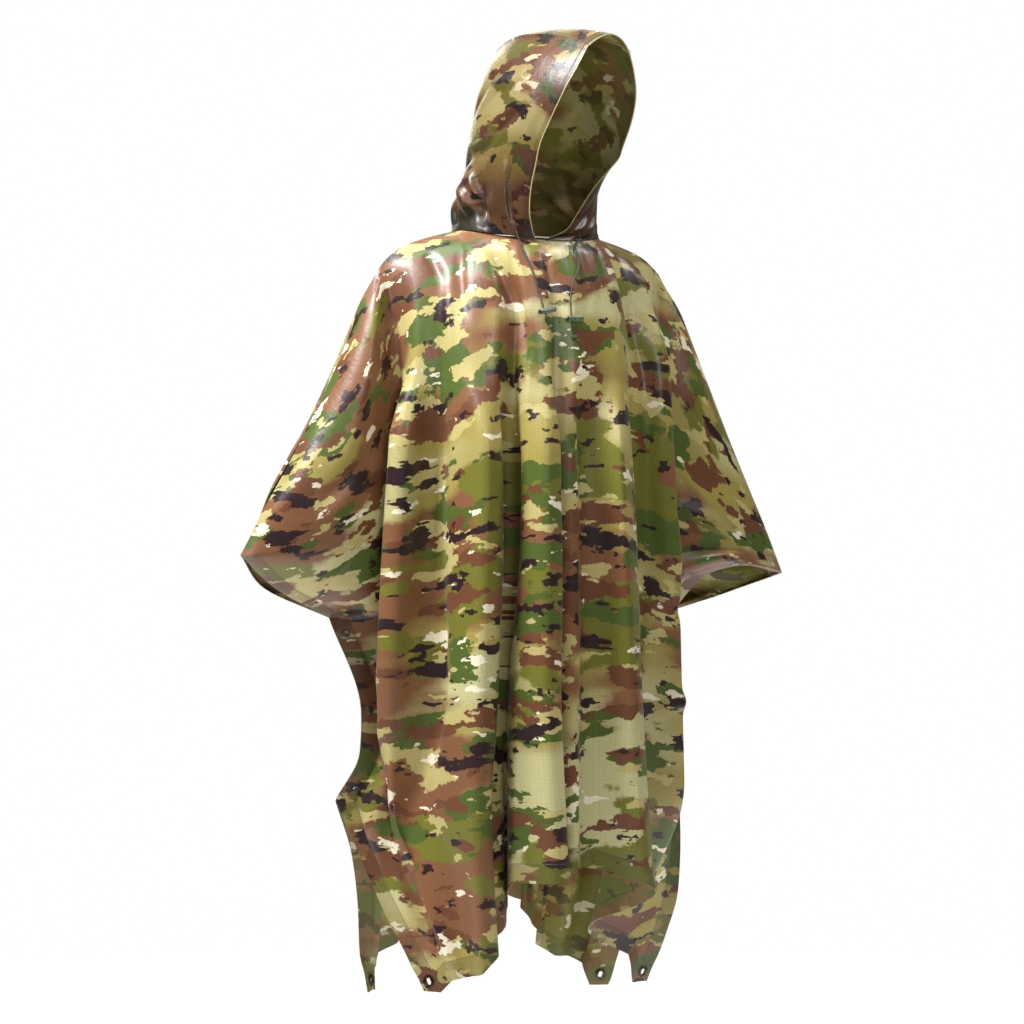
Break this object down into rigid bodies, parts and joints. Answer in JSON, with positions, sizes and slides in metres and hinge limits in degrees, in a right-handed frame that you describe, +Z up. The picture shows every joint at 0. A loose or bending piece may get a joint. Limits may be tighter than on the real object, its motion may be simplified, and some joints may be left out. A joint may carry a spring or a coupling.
{
  "type": "hooded rain poncho",
  "caption": "Hooded rain poncho, worn: one wide camouflage cloth over shoulders and arms, snapped under the arms, with a three-piece drawstring hood.",
  "frame": {"origin": "the middle of the neck, where the poncho rests on the wearer's shoulders", "axes": "+Z up, -Y towards the front of the wearer, +X towards the wearer's left"},
  "size_m": [0.9094, 0.3973, 1.4562],
  "materials": {
    "shell": null,
    "cord": "braided nylon cord",
    "lock": "moulded, half gloss",
    "lock_button": "moulded, dark",
    "metal": "oxidised dark brass"
  },
  "bodies": {
    "root": {"front_panel": "shell", "back_panel": "shell", "hood_right": "shell", "hood_left": "shell", "hood_strip": "shell", "drawstring_right": "cord", "drawstring_knot_right": "cord", "cord_lock_right": "lock", "cord_lock_button_right": "lock_button", "drawstring_left": "cord", "drawstring_knot_left": "cord", "cord_lock_left": "lock", "cord_lock_button_left": "lock_button", "grommet_front_right": "metal", "grommet_front_left": "metal", "grommet_back_right": "metal", "grommet_back_left": "metal", "side_snap_cap_right_1": "metal", "side_snap_stud_right_1": "metal", "side_snap_cap_right_2": "metal", "side_snap_stud_right_2": "metal", "side_snap_cap_right_3": "metal", "side_snap_stud_right_3": "metal", "side_snap_cap_left_1": "metal", "side_snap_stud_left_1": "metal", "side_snap_cap_left_2": "metal", "side_snap_stud_left_2": "metal", "side_snap_cap_left_3": "metal", "side_snap_stud_left_3": "metal"}
  },
  "joints": []
}
